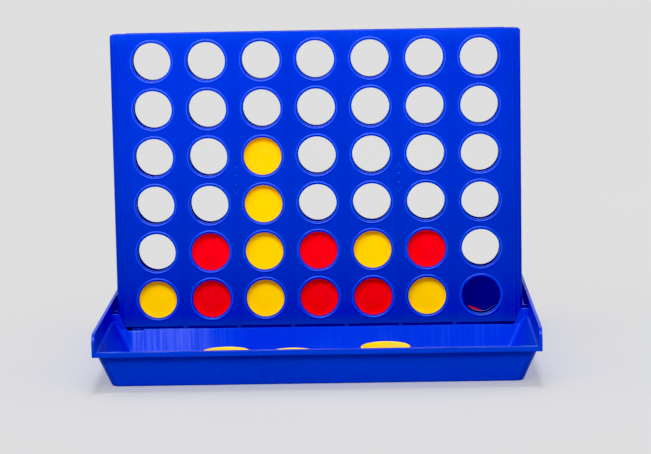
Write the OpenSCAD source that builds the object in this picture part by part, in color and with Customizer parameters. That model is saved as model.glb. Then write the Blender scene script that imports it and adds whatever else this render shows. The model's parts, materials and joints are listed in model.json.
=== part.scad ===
// Four-in-a-row game: an upright grid frame with drop-in discs, a sliding release bar,
// and a twin-pan base tray that the frame lifts out of. Millimetres, +Z up, +Y to the rear.
// Origin: middle of the base, on the table.

/* [Grid] */
// Number of columns
columns = 7; // [7:1:9]
// Number of rows
rows = 6; // [6:1:8]
// Distance between column centres
pitch_x = 35; // [34.6:0.2:38]
// Diameter of a playing disc
disc_d = 30.95; // [29:0.05:31]
// Thickness of a playing disc
disc_t = 4.8; // [4:0.1:5.4]
// Diameter of the see-through holes
hole_d = 24.4; // [22:0.2:25]

/* [Frame] */
// Thickness of each grid panel
panel_t = 1.8; // [1.6:0.1:2.4]
// Thickness of the whole frame, front face to rear face
frame_t = 10; // [10:0.5:12]
// Width of each side rail as seen from the front
rail_w = 4; // [3.6:0.2:6]
// Height of the raised bead round each hole
bead_h = 0.45; // [0.3:0.05:0.6]
// Outward run of the release bar's thumb tab
tab_len = 8; // [6:1:10]

/* [Base] */
// Front-to-rear size of the base over its flange
base_d = 224; // [200:2:240]
// Height of the pans' ledge above the table
ledge_z = 22; // [21:0.5:26]
// Height of the end upstands above the ledge
upstand_h = 11.2; // [8:0.2:16]
// Wall thickness of the base moulding
wall = 1.8; // [1.6:0.1:2.4]

/* [Hidden] */
$fn = 96;
eps = 0.01;

blue = [0.01, 0.12, 0.78];
yellow = [1.0, 0.80, 0.0];
red = [0.90, 0.05, 0.04];

// Discs and channels
disc_r = disc_d / 2;
stack_gap = 0.02;                     // between discs that rest on each other
pitch_z = disc_d + stack_gap;
channel_r = 15.8;                     // half width of a channel
divider_w = pitch_x - 2 * channel_r;

// Frame heights
bar_floor = 15.7;                     // underside of the release bar
bar_t = 1.7;
frame_z0 = bar_floor + bar_t + 0.1;   // bottom edge of the grid panels
tongue_h = 2.5;                       // tongues stand this far above the bar
tongue_top = bar_floor + bar_t + tongue_h;
row1_z = tongue_top + stack_gap + disc_r;
top_margin = 18.1;
frame_z1 = row1_z + (rows - 1) * pitch_z + top_margin;
frame_h = frame_z1 - frame_z0;

// Frame plan
slot_t = frame_t - 2 * panel_t;       // depth of the disc channels
panel_hw = (columns - 1) / 2 * pitch_x + channel_r + 6.6;
channel_edge = (columns - 1) / 2 * pitch_x + channel_r;
frame_hw = panel_hw + 0.1 + rail_w;
rail_step = 0.3;                      // rails lie this far behind the panel faces
rail_corner = 1.8;
top_step = 0.3;                       // rails and panel corners stop this far below the top edge
hole_r = hole_d / 2;
bead_r = 0.7;                         // section radius of the bead
bead_out = 1.3;                       // from the edge of a hole to the middle of its bead
line_in = 1.7;                        // fine line down each side of a panel, in from its edge
line_w = 0.5;
line_depth = 0.2;
step_w = 5.8;                         // width of the lowered corners at the panel's top

// Release bar
bar_hw = 4;                           // half of its front-to-rear width
bar_play = 0.1;
bar_travel = pitch_x / 2;
tongue_w = divider_w - 0.2;
hook_w = 3;
hook_t = 0.8;
tab_w = 12;

// Joining pins inside the dividers
pin_d = 2;
pin_bite = 1;                         // depth of each pin end in its panel
pin_rows = [0.5, 2.5, 4.5];           // in row pitches above the first row

// Base
base_hw = frame_hw + 5.7;
base_hd = base_d / 2;
flange_t = 3;
flange_over_x = 1.4;                  // flange overhang past the end walls
flange_over_y = 1.5;                  // flange overhang past the front and rear walls
end_draft = 0.43;
side_draft = 0.15;
pan_corner = 5;
bottom_edge = 0.6;                    // chamfer round the bottom of the tray and of its pans
floor_t = 2;
lip_z = frame_z0 - 1.2;               // top edge of the walls beside the frame
trough_hy = frame_t / 2 + 0.6;
trough_z = 13.4;                      // the rails' feet stand here
trough_hx = frame_hw + 0.7;
foot_z1 = ledge_z - flange_t - 0.5;   // the rails narrow to their feet below this height
foot_hx = frame_hw - 2.3;
foot_play = 0.5;
notch_x = 7.4 - trough_hx;             // notch in the spine's lip beside the left foot
notch_w = 10;
notch_h = 1.4;
ear_t = 2.1;
ear_gap = 0.3;                        // between an ear and the frame
ear_top = ledge_z + 4.4;
upstand_round = 6;

// Loose discs in the pans
pile_z = floor_t + 0.05;
pile_shift = 0.9;
lean_angle = 25;
lean_x = 109;
lean_y = 44;

function column_x(c) = (c - (columns + 1) / 2) * pitch_x;
function row_z(r) = row1_z + (r - 1) * pitch_z;
function divider_x(i) = (i - columns / 2) * pitch_x;

// A flat box given by its low and high corners.
module box(lo, hi) {
    translate(lo) cube(hi - lo);
}

// ---------- discs ----------

// Disc about the Z axis, centred on the origin: a rounded rim round a slightly sunk face.
module disc_solid() {
    rim_w = 1.9;
    sink = 0.35;
    edge = 0.8;
    half = disc_t / 2;
    rotate_extrude()
        for (m = [0, 1]) mirror([0, m]) {
            square([disc_r - rim_w, half - sink]);
            translate([disc_r - rim_w - eps, 0]) square([rim_w - edge + eps, half]);
            square([disc_r, half - edge]);
            translate([disc_r - edge, half - edge]) circle(edge, $fn = 32);
        }
}

// Disc standing in the grid at a column and a row, both counted from 1.
module grid_disc(c, r, tint) {
    color(tint) translate([column_x(c), 0, row_z(r)]) rotate([90, 0, 0]) disc_solid();
}

// Pile of loose discs lying in a pan; each one is shifted a little from the one below.
module disc_pile(x, y, count, tint) {
    turn = 137;
    color(tint)
        for (i = [0:count - 1])
            translate([x + pile_shift * sin(turn * i), y + pile_shift * cos(turn * i),
                       pile_z + disc_t / 2 + i * (disc_t + stack_gap)])
                disc_solid();
}

// Loose disc with one edge on the pan floor and its left side propped on a pile of two.
module leaning_disc(x, y, tint) {
    lean_z = pile_z + disc_r * sin(lean_angle) + disc_t / 2 * cos(lean_angle);
    color(tint) translate([x, y, lean_z]) rotate([0, lean_angle, 0]) disc_solid();
}

// ---------- frame ----------

// Grid panel lying behind the plane y = 0, with its beads standing out towards -Y.
module grid_panel() {
    difference() {
        union() {
            box([-panel_hw, 0, frame_z0], [panel_hw, panel_t, frame_z1]);
            for (c = [1:columns], r = [1:rows])
                translate([column_x(c), bead_r - bead_h, row_z(r)]) rotate([90, 0, 0])
                    rotate_extrude() translate([hole_r + bead_out, 0]) circle(bead_r, $fn = 24);
            bar_hooks();
            for (s = [-1, 1]) direction_mark(s * 1.5 * pitch_x);
        }
        for (s = [0, 1]) mirror([s, 0, 0]) {
            box([panel_hw - step_w, -1, frame_z1 - top_step], [panel_hw + 1, panel_t + 1, frame_z1 + 1]);
            box([panel_hw - line_in - line_w / 2, -1, frame_z0 - 1],
                [panel_hw - line_in + line_w / 2, line_depth, frame_z1 + 1]);
        }
        for (c = [1:columns], r = [1:rows])
            translate([column_x(c), 0, row_z(r)]) rotate([90, 0, 0])
                cylinder(r = hole_r, h = 4 * panel_t, center = true);
        for (i = [1:columns - 1], r = pin_rows)
            translate([divider_x(i), panel_t, row1_z + r * pitch_z]) rotate([90, 0, 0])
                cylinder(d = pin_d + 0.05, h = 2 * (pin_bite + 0.1), center = true);
    }
}

// Hooks under the panel's bottom edge that carry the release bar, one below each divider.
module bar_hooks() {
    reach = frame_t / 2 - bar_hw + 1;
    for (i = [1:columns - 1])
        translate([divider_x(i) - hook_w / 2, 0, 0]) {
            box([0, 0, bar_floor - bar_play - hook_t], [hook_w, hook_t, frame_z0 + eps]);
            box([0, 0, bar_floor - bar_play - hook_t], [hook_w, reach, bar_floor - bar_play]);
        }
}

// Moulded up-and-down arrow on the panel face, between the second and third rows from the top.
module direction_mark(x) {
    relief = 0.25;
    stroke = 0.7;
    arm = 3.7;
    lean = 32;
    apex = 9.4;
    bar_z = 2.9;
    mid_z = row_z(rows - 2) - pitch_z / 2;
    translate([x, 0, mid_z]) {
        for (s = [-1, 1], side = [-1, 1])
            translate([0, -relief, s * apex]) rotate([0, side * lean + (s < 0 ? 180 : 0), 0])
                translate([-stroke / 2, 0, -arm]) cube([stroke, relief + eps, arm]);
        for (s = [-1, 1])
            box([-1, -relief, s * bar_z - stroke / 2], [1, eps, s * bar_z + stroke / 2]);
    }
}

module front_panel() {
    color(blue) translate([0, -frame_t / 2, 0]) grid_panel();
}

module rear_panel() {
    color(blue) mirror([0, 1, 0]) translate([0, -frame_t / 2, 0]) grid_panel();
}

// Rail at the right side: a tongue between the panels, a cap outside them and a foot below.
module side_rail() {
    cap_hy = frame_t / 2 - rail_step;
    edge = 1.2;
    foot_z0 = trough_z + 0.05;
    rail_top = frame_z1 - top_step;
    intersection() {
        union() {
            box([channel_edge, -slot_t / 2 + 0.05, frame_z0 + tongue_h + 0.3],
                [panel_hw + 1, slot_t / 2 - 0.05, frame_z1 - 1]);
            translate([0, 0, foot_z0]) linear_extrude(frame_z1 - top_step - foot_z0) {
                translate([panel_hw + 0.1, -cap_hy]) square([rail_w - edge, 2 * cap_hy]);
                translate([panel_hw + 0.1, edge - cap_hy]) square([rail_w, 2 * (cap_hy - edge)]);
                for (s = [-1, 1])
                    translate([frame_hw - edge, s * (cap_hy - edge)]) circle(edge, $fn = 32);
            }
        }
        rotate([90, 0, 0]) linear_extrude(frame_t, center = true) {
            square([foot_hx, foot_z1 + 1]);
            translate([0, foot_z1]) square([frame_hw - rail_corner, rail_top - foot_z1]);
            translate([0, foot_z1]) square([frame_hw, rail_top - rail_corner - foot_z1]);
            translate([frame_hw - rail_corner, rail_top - rail_corner]) circle(rail_corner);
        }
    }
}

module right_rail() {
    color(blue) side_rail();
}

module left_rail() {
    color(blue) mirror([1, 0, 0]) side_rail();
}

// Strips between the channels, with a pointed top that guides a disc into its column.
module column_dividers() {
    z0 = tongue_top + 0.3;
    z1 = frame_z1 - 1;
    hy = slot_t / 2 - 0.05;
    color(blue)
        for (i = [1:columns - 1])
            translate([divider_x(i), 0, 0]) difference() {
                rotate([90, 0, 0]) linear_extrude(2 * hy, center = true)
                    polygon([[-divider_w / 2, z0], [divider_w / 2, z0], [divider_w / 2, z1 - 4],
                             [0.5, z1], [-0.5, z1], [-divider_w / 2, z1 - 4]]);
                for (r = pin_rows)
                    translate([0, 0, row1_z + r * pitch_z]) rotate([90, 0, 0])
                        cylinder(d = pin_d + 0.05, h = frame_t, center = true);
            }
}

// Pins that run through the dividers and into both panels.
module panel_pins() {
    color(blue)
        for (i = [1:columns - 1], r = pin_rows)
            translate([divider_x(i), 0, row1_z + r * pitch_z]) rotate([90, 0, 0])
                cylinder(d = pin_d, h = slot_t + 2 * pin_bite, center = true);
}

// Bar under the channels. A tongue holds up each column until the bar slides by half a pitch.
module release_bar() {
    hx = channel_edge - 1;
    window_l = pitch_x - tongue_w - 0.2;
    tab_x = -bar_travel / 2;
    color(blue) {
        difference() {
            box([-hx - tongue_w, -bar_hw, bar_floor],
                [hx - bar_travel + tongue_w, bar_hw, bar_floor + bar_t]);
            for (c = [1:columns - 1])
                translate([column_x(c) + pitch_x / 2 - window_l / 2, -disc_t / 2 - 0.3, bar_floor - 1])
                    cube([window_l, disc_t + 0.6, bar_t + 2]);
            translate([-hx, -disc_t / 2 - 0.3, bar_floor - 1])
                cube([column_x(1) - tongue_w / 2 + hx, disc_t + 0.6, bar_t + 2]);
        }
        for (c = [1:columns])
            translate([column_x(c) - tongue_w / 2, -disc_t / 2, bar_floor])
                cube([tongue_w, disc_t, bar_t + tongue_h]);
        box([tab_x - tab_w / 2, bar_hw - eps, bar_floor],
            [tab_x + tab_w / 2, bar_hw + tab_len, bar_floor + bar_t]);
        for (i = [0:2])
            box([tab_x - tab_w / 2, bar_hw + tab_len - 1 - 2 * i, bar_floor + bar_t - eps],
                [tab_x + tab_w / 2, bar_hw + tab_len - 2 * i, bar_floor + bar_t + 0.6]);
    }
}

// ---------- base ----------

// Drafted block with rounded corners: full size at z1, drawn in towards z0.
module pan_block(hx, y0, y1, z0, z1, r) {
    h = z1 - z0;
    low_x = hx - r - end_draft * h;
    low_y = [y0 + r + side_draft * h, y1 - r - side_draft * h];
    hull() {
        for (x = [-hx + r, hx - r], y = [y0 + r, y1 - r])
            translate([x, y, z1 - eps]) cylinder(r = r, h = eps, $fn = 32);
        for (x = [-low_x, low_x], y = low_y) {
            translate([x, y, z0 + bottom_edge]) cylinder(r = r, h = eps, $fn = 32);
            translate([x, y, z0]) cylinder(r = r - bottom_edge, h = eps, $fn = 32);
        }
    }
}

// Wall at the right end that stands on the flange, with a rounded front top corner.
module end_upstand() {
    top = ledge_z + upstand_h;
    low = ledge_z - flange_t;
    translate([base_hw, 0, 0]) rotate([90, 0, -90]) linear_extrude(wall) {
        translate([-base_hd, low]) square([base_d, top - low - upstand_round]);
        translate([-base_hd, low]) square([base_d - upstand_round, top - low]);
        translate([base_hd - upstand_round, top - upstand_round]) circle(upstand_round);
    }
}

// Wall along the rear edge that joins the two end walls.
module rear_upstand() {
    box([-base_hw, base_hd - wall, ledge_z - flange_t], [base_hw, base_hd, ledge_z + upstand_h]);
}

// Ear in front of the right rail's foot; its inner edge leans outwards as it rises.
module ear() {
    translate([0, -frame_t / 2 - ear_gap, 0]) rotate([90, 0, 0]) linear_extrude(ear_t)
        polygon([[frame_hw - 9, floor_t], [frame_hw - 5.5, lip_z], [frame_hw - 0.8, ear_top],
                 [base_hw - wall + eps, ear_top], [base_hw - wall + eps, ledge_z - 1],
                 [frame_hw - 3, floor_t]]);
}

module base_tray() {
    hx = base_hw - flange_over_x;
    hy = base_hd - flange_over_y;
    pan_y = trough_hy + wall;
    color(blue) {
        difference() {
            union() {
                pan_block(hx, -hy, hy, 0, ledge_z - eps, pan_corner);
                flange_plate();
            }
            for (s = [0, 1]) mirror([0, s, 0])
                pan_block(hx - wall, -hy + wall, -pan_y, floor_t, ledge_z + 0.5, pan_corner - 1);
            spine_underside(hx);
            box([-foot_hx - foot_play, -trough_hy, trough_z], [foot_hx + foot_play, trough_hy, ledge_z + 1]);
            box([-trough_hx, -trough_hy, foot_z1 - foot_play], [trough_hx, trough_hy, ledge_z + 1]);
            box([-trough_hx, -pan_y - 1, lip_z], [trough_hx, pan_y + 1, ledge_z + 1]);
            box([-bar_travel, 0, trough_z], [bar_travel, pan_y + 3, ledge_z + 1]);
            box([notch_x, -pan_y - 1, lip_z - notch_h], [notch_x + notch_w, -trough_hy + 1, ledge_z]);
        }
        for (a = [0, 1], b = [0, 1]) mirror([a, 0, 0]) mirror([0, b, 0]) ear();
        for (a = [0, 1]) mirror([a, 0, 0]) end_upstand();
        rear_upstand();
    }
}

// Flange plate round the rim of the tray.
module flange_plate() {
    r = 3;
    translate([0, 0, ledge_z - flange_t]) linear_extrude(flange_t) {
        translate([-base_hw, r - base_hd]) square([2 * base_hw, base_d - r]);
        translate([r - base_hw, -base_hd]) square([2 * (base_hw - r), base_d]);
        for (a = [-1, 1]) translate([a * (base_hw - r), r - base_hd]) circle(r, $fn = 32);
    }
}

// Hollow under the spine that carries the frame, open to the table.
module spine_underside(hx) {
    top = trough_z - wall;
    foot_hy = trough_hy + side_draft * ledge_z - 0.5;
    rotate([90, 0, 90]) linear_extrude(2 * (hx - end_draft * ledge_z - 2 * wall), center = true)
        polygon([[-foot_hy, -1], [foot_hy, -1], [trough_hy - 0.5, top], [-trough_hy + 0.5, top]]);
}

// ---------- nodes ----------

base_tray();
front_panel();
rear_panel();
left_rail();
right_rail();
column_dividers();
panel_pins();
release_bar();
grid_disc(1, 1, yellow);  // disc_c1_r1
grid_disc(2, 1, red);  // disc_c2_r1
grid_disc(2, 2, red);  // disc_c2_r2
grid_disc(3, 1, yellow);  // disc_c3_r1
grid_disc(3, 2, yellow);  // disc_c3_r2
grid_disc(3, 3, yellow);  // disc_c3_r3
grid_disc(3, 4, yellow);  // disc_c3_r4
grid_disc(4, 1, red);  // disc_c4_r1
grid_disc(4, 2, red);  // disc_c4_r2
grid_disc(5, 1, red);  // disc_c5_r1
grid_disc(5, 2, yellow);  // disc_c5_r2
grid_disc(6, 1, yellow);  // disc_c6_r1
grid_disc(6, 2, red);  // disc_c6_r2
disc_pile(-97, -86, 2, yellow);  // yellow_pile_1
disc_pile(-56, -85, 3, yellow);  // yellow_pile_2
disc_pile(-17.2, -66, 2, yellow);  // yellow_pile_3
disc_pile(43, -75, 3, yellow);  // yellow_pile_4
disc_pile(76, -86, 2, yellow);  // yellow_pile_5
disc_pile(107.5, -80, 2, yellow);  // yellow_pile_6
disc_pile(-84, 76, 4, red);  // red_pile_1
disc_pile(-30, 84, 4, red);  // red_pile_2
disc_pile(38, 80, 4, red);  // red_pile_3
disc_pile(lean_x - 24, lean_y, 2, red);  // red_pile_4
leaning_disc(lean_x, lean_y, red);  // red_leaning_disc
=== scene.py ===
import json
import math

import bpy
from mathutils import Matrix, Vector

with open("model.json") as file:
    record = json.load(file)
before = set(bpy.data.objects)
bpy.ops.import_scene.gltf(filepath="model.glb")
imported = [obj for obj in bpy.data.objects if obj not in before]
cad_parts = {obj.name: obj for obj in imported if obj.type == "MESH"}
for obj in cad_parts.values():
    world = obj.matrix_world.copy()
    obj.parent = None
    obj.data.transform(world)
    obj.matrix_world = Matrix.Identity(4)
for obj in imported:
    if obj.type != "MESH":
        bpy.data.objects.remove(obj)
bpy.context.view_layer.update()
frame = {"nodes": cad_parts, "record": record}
scene = bpy.context.scene

MM = 0.001

# Places on the pieces that the materials refer to, in metres.
COLUMN_PITCH = 35 * MM
FRAME_FOOT = 17 * MM
FOOT_TOP = 25 * MM
TOP_BAND = (200 * MM, 207 * MM)
CHANNEL_MOUTH = (203 * MM, 205 * MM)
CHANNEL_DEPTH = (3.1 * MM, 4.9 * MM)
RAISED_DETAIL = (5.1 * MM, 5.4 * MM)
PANEL_FACE = (4.0 * MM, 4.95 * MM)
PAINTED_LIGHTING_HEIGHTS = (0.03, 0.19)
PAN_WALL = (100 * MM, 60 * MM)
PAINTED_SHEEN_END = (-45 * MM, -95 * MM)
END_WALL = (-125 * MM, -120 * MM)
FRONT_OF_FRAME = (-9 * MM, -14 * MM)
REAR_WALL = (95 * MM, 105 * MM)
WORN_EDGE_RADIUS = 0.35 * MM
BUMP_DEPTH = 0.05 * MM
SHADE_REACH = 5 * MM
SCATTER_REACH = 3 * MM


# ---------- materials ----------


class Graph:
    """Small helper that adds and joins shader nodes."""

    def __init__(self, name):
        self.mat = bpy.data.materials.new(name)
        self.mat.use_nodes = True
        self.tree = self.mat.node_tree
        self.tree.nodes.clear()
        self.out = self.add("ShaderNodeOutputMaterial")
        self.bsdf = self.add("ShaderNodeBsdfPrincipled")
        self.tree.links.new(self.bsdf.outputs["BSDF"], self.out.inputs["Surface"])
        self.coord = self.add("ShaderNodeTexCoord").outputs["Object"]

    def add(self, kind, **settings):
        node = self.tree.nodes.new(kind)
        for key, value in settings.items():
            setattr(node, key, value)
        return node

    def put(self, socket, value):
        if hasattr(value, "links"):
            self.tree.links.new(value, socket)
        else:
            socket.default_value = value

    def mapping(self, scale, rotation=(0, 0, 0)):
        node = self.add("ShaderNodeMapping")
        self.put(node.inputs["Vector"], self.coord)
        node.inputs["Scale"].default_value = scale
        node.inputs["Rotation"].default_value = rotation
        return node.outputs["Vector"]

    def noise(self, scale, detail=3.0, rough=0.5, vector=None):
        node = self.add("ShaderNodeTexNoise")
        self.put(node.inputs["Vector"], self.coord if vector is None else vector)
        node.inputs["Scale"].default_value = scale
        node.inputs["Detail"].default_value = detail
        node.inputs["Roughness"].default_value = rough
        return node.outputs["Fac"]

    def remap(self, value, low, high, to_low=0.0, to_high=1.0):
        node = self.add("ShaderNodeMapRange", clamp=True)
        self.put(node.inputs["Value"], value)
        node.inputs["From Min"].default_value = low
        node.inputs["From Max"].default_value = high
        node.inputs["To Min"].default_value = to_low
        node.inputs["To Max"].default_value = to_high
        return node.outputs["Result"]

    def maths(self, op, a, b=0.0):
        node = self.add("ShaderNodeMath", operation=op, use_clamp=False)
        self.put(node.inputs[0], a)
        self.put(node.inputs[1], b)
        return node.outputs[0]

    def mix(self, fac, a, b, blend="MIX"):
        node = self.add("ShaderNodeMix", data_type="RGBA", blend_type=blend)
        self.put(node.inputs[0], fac)
        self.put(node.inputs[6], a)
        self.put(node.inputs[7], b)
        return node.outputs[2]

    def axis(self, index):
        node = self.add("ShaderNodeSeparateXYZ")
        self.put(node.inputs[0], self.coord)
        return node.outputs[index]

    def bump(self, height, strength, distance, normal=None):
        node = self.add("ShaderNodeBump")
        self.put(node.inputs["Height"], height)
        node.inputs["Strength"].default_value = strength
        node.inputs["Distance"].default_value = distance
        if normal is not None:
            self.put(node.inputs["Normal"], normal)
        return node.outputs["Normal"]

    def edge_mask(self, radius):
        """(0 on flats, 1 along edges; the softened normal)."""
        bevel = self.add("ShaderNodeBevel", samples=4)
        bevel.inputs["Radius"].default_value = radius
        geometry = self.add("ShaderNodeNewGeometry")
        dot = self.add("ShaderNodeVectorMath", operation="DOT_PRODUCT")
        self.put(dot.inputs[0], bevel.outputs["Normal"])
        self.put(dot.inputs[1], geometry.outputs["Normal"])
        return self.remap(dot.outputs["Value"], 0.995, 0.80), bevel.outputs["Normal"]


def moulded_plastic(name, base, shade, light, rough, scuff, grain, scatter=0.0, low=None,
                    paint_light=None, wear_zone=None, glow=None):
    """Injection-moulded plastic: cloudy colour, fine peel, handling scratches and paler worn edges.
    low: factor on the colour near the table, painted light and shade that changes with height; the
    next argument, a function, paints light, shade and sheen into the colour;
    wear_zone: function giving where edges wear;
    glow: faint emission in tight shade, standing in for light that passes through the plastic."""
    g = Graph(name)
    clouds = g.remap(g.noise(9.0, 4.0, 0.6), 0.32, 0.68)
    speckle = g.remap(g.noise(420.0, 2.0), 0.3, 0.7)
    colour = g.mix(clouds, (*shade, 1), (*base, 1))
    colour = g.mix(g.maths("MULTIPLY", speckle, 0.06), colour, (*light, 1))

    # Painted light and shade: near the table the colour is scaled by low, and the scaling fades out
    # higher up.
    if low is not None:
        painted_lighting_fade = g.remap(g.axis(2), *PAINTED_LIGHTING_HEIGHTS)
        colour = g.mix(painted_lighting_fade, g.mix(1.0, colour, low, "MULTIPLY"), colour)
    # Painted light, shade and sheen from the given function.
    if paint_light is not None:
        colour = paint_light(g, colour, (*light, 1))

    hair = g.remap(g.noise(1.0, 6.0, 0.7, g.mapping((26, 26, 900), (0.5, 0.35, 0))), 0.66, 0.74)
    cross = g.remap(g.noise(1.0, 6.0, 0.7, g.mapping((800, 30, 30), (0, 0.6, 0.4))), 0.67, 0.75)
    patches = g.remap(g.noise(22.0, 3.0), 0.45, 0.62)
    scratches = g.maths("MULTIPLY", g.maths("MAXIMUM", hair, cross), patches)
    scratches = g.maths("MULTIPLY", scratches, scuff)
    colour = g.mix(scratches, colour, (*light, 1))

    edges, soft_normal = g.edge_mask(WORN_EDGE_RADIUS)
    worn = g.maths("MULTIPLY", edges, g.remap(g.noise(140.0, 3.0), 0.35, 0.65, 0.25, 0.7))
    if wear_zone is not None:
        worn = g.maths("MULTIPLY", worn, wear_zone(g))
    colour = g.mix(worn, colour, (*light, 1))

    roughness = g.remap(g.noise(60.0, 4.0), 0.3, 0.7, rough - 0.05, rough + 0.07)
    roughness = g.maths("ADD", roughness, g.maths("MULTIPLY", scratches, 0.25))
    coarse = g.maths("MULTIPLY", g.noise(grain * 0.12, 2.0), 0.8)
    height = g.maths("ADD", g.noise(grain, 2.0), coarse)
    height = g.maths("SUBTRACT", height, scratches)
    normal = g.bump(height, 0.12, BUMP_DEPTH, soft_normal)

    if glow is not None:
        shade_node = g.add("ShaderNodeAmbientOcclusion", samples=6)
        shade_node.inputs["Distance"].default_value = SHADE_REACH
        g.bsdf.inputs["Emission Color"].default_value = (*glow, 1)
        glow_strength = g.remap(shade_node.outputs["AO"], 1.0, 0.3, 0.0, 0.4)
        g.put(g.bsdf.inputs["Emission Strength"], glow_strength)

    g.put(g.bsdf.inputs["Base Color"], colour)
    g.put(g.bsdf.inputs["Roughness"], roughness)
    g.put(g.bsdf.inputs["Normal"], normal)
    g.bsdf.inputs["IOR"].default_value = 1.5
    g.bsdf.inputs["Specular IOR Level"].default_value = 0.3
    g.bsdf.inputs["Subsurface Weight"].default_value = scatter
    g.bsdf.inputs["Subsurface Radius"].default_value = (1.0, 0.5, 0.2)
    g.bsdf.inputs["Subsurface Scale"].default_value = SCATTER_REACH
    return g.mat


def pale_floor():
    g = Graph("pale_floor")
    tone = g.remap(g.noise(1.5, 3.0), 0.3, 0.7)
    colour = g.mix(tone, (0.803, 0.800, 0.792, 1), (0.818, 0.815, 0.807, 1))
    g.put(g.bsdf.inputs["Base Color"], colour)
    g.bsdf.inputs["Roughness"].default_value = 0.9
    g.bsdf.inputs["Specular IOR Level"].default_value = 0.1
    return g.mat


def panel_painted_light(g, colour, light):
    """Painted light and shade on the panels: darker bands over the dividers for faint sink-mark
    dents, a painted highlight along the top edge, a painted highlight on raised details, painted
    shade in the channels and painted shade towards the foot."""
    # Painted shade: darker bands over the dividers, standing in for faint sink-mark dents.
    wave = g.maths("COSINE", g.maths("MULTIPLY", g.axis(0), 2 * math.pi / COLUMN_PITCH))
    sink = g.remap(wave, -1.0, -0.8, 0.12, 0.0)
    colour = g.mix(sink, colour, g.mix(1.0, colour, (0.6, 0.6, 0.6, 1), "MULTIPLY"))
    # Painted highlight along the top edge.
    painted_top_highlight = g.remap(g.axis(2), *TOP_BAND, 0.0, 0.16)
    painted_top_highlight = g.maths("MULTIPLY", painted_top_highlight, g.remap(g.noise(14.0, 3.0), 0.35, 0.6, 0.35, 1.0))
    colour = g.mix(painted_top_highlight, colour, light)
    # Painted highlight on the raised beads and details.
    raised = g.remap(g.maths("ABSOLUTE", g.axis(1)), *RAISED_DETAIL, 0.0, 0.5)
    colour = g.mix(raised, colour, (0.03, 0.11, 0.95, 1))
    # Painted shade inside the channels between the panels.
    painted_channel_shade = g.remap(g.maths("ABSOLUTE", g.axis(1)), *CHANNEL_DEPTH, 0.8, 0.0)
    painted_channel_shade = g.maths("MULTIPLY", painted_channel_shade, g.remap(g.axis(2), *CHANNEL_MOUTH, 1.0, 0.0))
    colour = g.mix(painted_channel_shade, colour, (0.0, 0.002, 0.07, 1))
    # Painted shade, darker and greener towards the frame's foot.
    foot = g.remap(g.axis(2), FRAME_FOOT, FOOT_TOP, 0.5, 0.0)
    return g.mix(foot, colour, g.mix(1.0, colour, (0.4, 2.4, 0.58, 1), "MULTIPLY"))


def pan_painted_sheen(g, colour, light):
    """Painted sheen in upright streaks on the inner faces of the pans, over a painted lighter wall
    colour. light goes unused:
    both painting functions are called alike."""
    across = g.maths("ABSOLUTE", g.axis(1))
    inside = g.remap(across, *PAN_WALL)
    # Painted light: a paler colour on the inner walls of the pans.
    colour = g.mix(g.maths("MULTIPLY", inside, 0.6), colour, (0.001, 0.036, 0.66, 1))
    upright = g.noise(1.0, 5.0, 0.65, g.mapping((520, 60, 12)))
    streaks = g.remap(upright, 0.40, 0.66, 0.3, 1.0)
    cloud = g.remap(g.noise(17.0, 2.0), 0.40, 0.62)
    left = g.remap(g.axis(0), *PAINTED_SHEEN_END, 0.0, 1.0)
    # Painted sheen, strongest towards the left end of the pans.
    painted_sheen = g.maths("MULTIPLY", streaks, g.maths("MAXIMUM", g.maths("MULTIPLY", cloud, 0.22), left))
    away = g.remap(g.axis(0), *END_WALL)
    painted_sheen = g.maths("MULTIPLY", g.maths("MULTIPLY", painted_sheen, inside), g.maths("MULTIPLY", away, 0.75))
    return g.mix(painted_sheen, colour, (0.11, 0.17, 0.76, 1))


def face_wear(g):
    """Edges wear on the panels' outer faces, not inside the channels."""
    return g.remap(g.maths("ABSOLUTE", g.axis(1)), *PANEL_FACE)


def tray_wear(g):
    """Edges wear on the front half and along the rear wall, not in the shelter of the frame."""
    front = g.remap(g.axis(1), *FRONT_OF_FRAME)
    return g.maths("MAXIMUM", front, g.remap(g.axis(1), *REAR_WALL))


# The low factors paint into the colours light and shade that change with height; the panel and pan
# functions paint light, shade and sheen.
frame_blue = moulded_plastic(
    "frame_blue", base=(0.0, 0.0245, 0.49), shade=(0.0, 0.020, 0.445), light=(0.02, 0.10, 0.85),
    rough=0.34, scuff=0.35, grain=2600.0, low=(1, 1.1, 0.86, 1),
    paint_light=panel_painted_light, wear_zone=face_wear)
tray_blue = moulded_plastic(
    "tray_blue", base=(0.0, 0.038, 0.50), shade=(0.0, 0.033, 0.46), light=(0.03, 0.13, 0.90),
    rough=0.38, scuff=0.6, grain=1900.0, paint_light=pan_painted_sheen, wear_zone=tray_wear)
disc_yellow = moulded_plastic(
    "disc_yellow", base=(1.0, 0.47, 0.0), shade=(0.97, 0.43, 0.0), light=(1.0, 0.72, 0.2),
    rough=0.36, scuff=0.3, grain=1500.0, scatter=0.4, low=(1, 1.32, 1, 1),
    glow=(1.0, 0.32, 0.0))
disc_red = moulded_plastic(
    "disc_red", base=(0.96, 0.004, 0.002), shade=(0.90, 0.003, 0.003), light=(0.95, 0.10, 0.08),
    rough=0.36, scuff=0.3, grain=1500.0, scatter=0.4, low=(0.86, 1, 3, 1),
    glow=(0.9, 0.0, 0.01))


# ---------- the carried-over pieces ----------

BLUE_TRAY = ("base_tray", "release_bar")
SHARP_ANGLE = math.radians(32)


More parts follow.
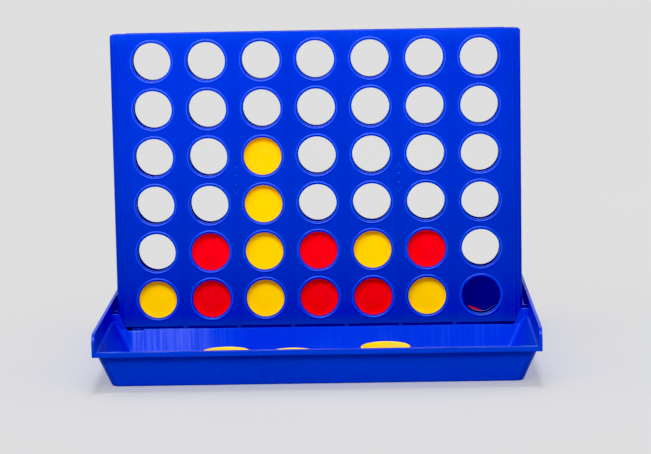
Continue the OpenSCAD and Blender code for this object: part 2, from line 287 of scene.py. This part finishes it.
def dress(name, obj):
    """Gives a CAD piece its material, and smooth shading except across sharp edges."""
    if name.startswith("yellow"):
        mat = disc_yellow
    elif name.startswith("red"):
        mat = disc_red
    elif name.startswith("disc"):
        subparts = frame["record"]["subparts"]
        slot = next(part["material_slot"] for part in subparts if part["node"] == name)
        mat = disc_yellow if slot == "yellow_disc" else disc_red
    elif name in BLUE_TRAY:
        mat = tray_blue
    else:
        mat = frame_blue
    obj.data.materials.clear()
    obj.data.materials.append(mat)
    for polygon in obj.data.polygons:
        polygon.material_index = 0
        polygon.use_smooth = True
    obj.data.set_sharp_from_angle(angle=SHARP_ANGLE)


for name, obj in frame["nodes"].items():
    dress(name, obj)


# ---------- stage, light and camera ----------


def area_light(name, place, target, size, power):
    data = bpy.data.lights.new(name, "AREA")
    data.shape = "RECTANGLE"
    data.size, data.size_y = size
    data.energy = power
    light = bpy.data.objects.new(name, data)
    light.location = place
    light.rotation_euler = (Vector(target) - Vector(place)).to_track_quat("-Z", "Y").to_euler()
    scene.collection.objects.link(light)
    return light


FLOOR_HALF = 12.0
FLOOR_GAP = 0.0002
CAMERA_PLACE = (0.0343, -1.5927, 0.3172)
CAMERA_LOOK = (-0.0184, 0.9890, -0.1468)
CAMERA_RIGHT = (0.9997, 0.0159, -0.0184)
CAMERA_LENS = 137.2
BLACK_LEVEL = (0.021, 0.021, 0.021)
WHITE_LEVEL = (0.90, 0.90, 0.90)

floor_mesh = bpy.data.meshes.new("floor")
SQUARE = ((-1, -1), (1, -1), (1, 1), (-1, 1))
floor_corners = [(x * FLOOR_HALF, y * FLOOR_HALF, 0) for x, y in SQUARE]
floor_mesh.from_pydata(floor_corners, [], [(0, 1, 2, 3)])
floor = bpy.data.objects.new("floor", floor_mesh)
floor.location.z = -FLOOR_GAP
scene.collection.objects.link(floor)
floor_mesh.materials.append(pale_floor())

lit_pieces = bpy.data.collections.new("lit_pieces")
for obj in frame["nodes"].values():
    lit_pieces.objects.link(obj)
lit_floor = bpy.data.collections.new("lit_floor")
lit_floor.objects.link(floor)


def floor_sun(name, direction, energy, softness, casts_shadow):
    """A sun that lights only the floor; without shadows it also passes through the pieces."""
    data = bpy.data.lights.new(name, "SUN")
    data.energy = energy
    data.angle = math.radians(softness)
    sun = bpy.data.objects.new(name, data)
    sun.rotation_euler = Vector(direction).to_track_quat("-Z", "Y").to_euler()
    scene.collection.objects.link(sun)
    sun.light_linking.receiver_collection = lit_floor
    if not casts_shadow:
        sun.light_linking.blocker_collection = lit_floor


floor_sun("floor_fill", (0, 0, -1), 1.05, 20, False)
floor_sun("floor_back", (0, -0.6, -1.0), 0.73, 12, True)
top_box = area_light("top_softbox", place=(-0.10, -0.50, 0.65), target=(0, 0, 0.14),
                     size=(0.9, 0.30), power=8.5)
rear_box = area_light("rear_softbox", place=(-0.4, 1.9, 1.2), target=(0, 0, 0.1),
                      size=(2.4, 0.8), power=9.0)
for light in (top_box, rear_box):
    light.light_linking.receiver_collection = lit_pieces

world = bpy.data.worlds.new("studio")
world.use_nodes = True
world.node_tree.nodes["Background"].inputs["Color"].default_value = (0.96, 0.97, 1.0, 1)
world.node_tree.nodes["Background"].inputs["Strength"].default_value = 0.31
scene.world = world

camera_data = bpy.data.cameras.new("camera")
camera_data.sensor_width = 36.0
camera_data.lens = CAMERA_LENS
camera_data.clip_end = 50.0
camera = bpy.data.objects.new("camera", camera_data)
look = Vector(CAMERA_LOOK).normalized()
right = Vector(CAMERA_RIGHT)
right = (right - look * right.dot(look)).normalized()
up = right.cross(look)
basis = Matrix((right, up, -look)).transposed().to_4x4()
camera.matrix_world = Matrix.Translation(CAMERA_PLACE) @ basis
scene.collection.objects.link(camera)
scene.camera = camera

scene.view_settings.view_transform = "Standard"
scene.view_settings.look = "None"
scene.view_settings.use_curve_mapping = True
scene.view_settings.curve_mapping.black_level = BLACK_LEVEL
scene.view_settings.curve_mapping.white_level = WHITE_LEVEL
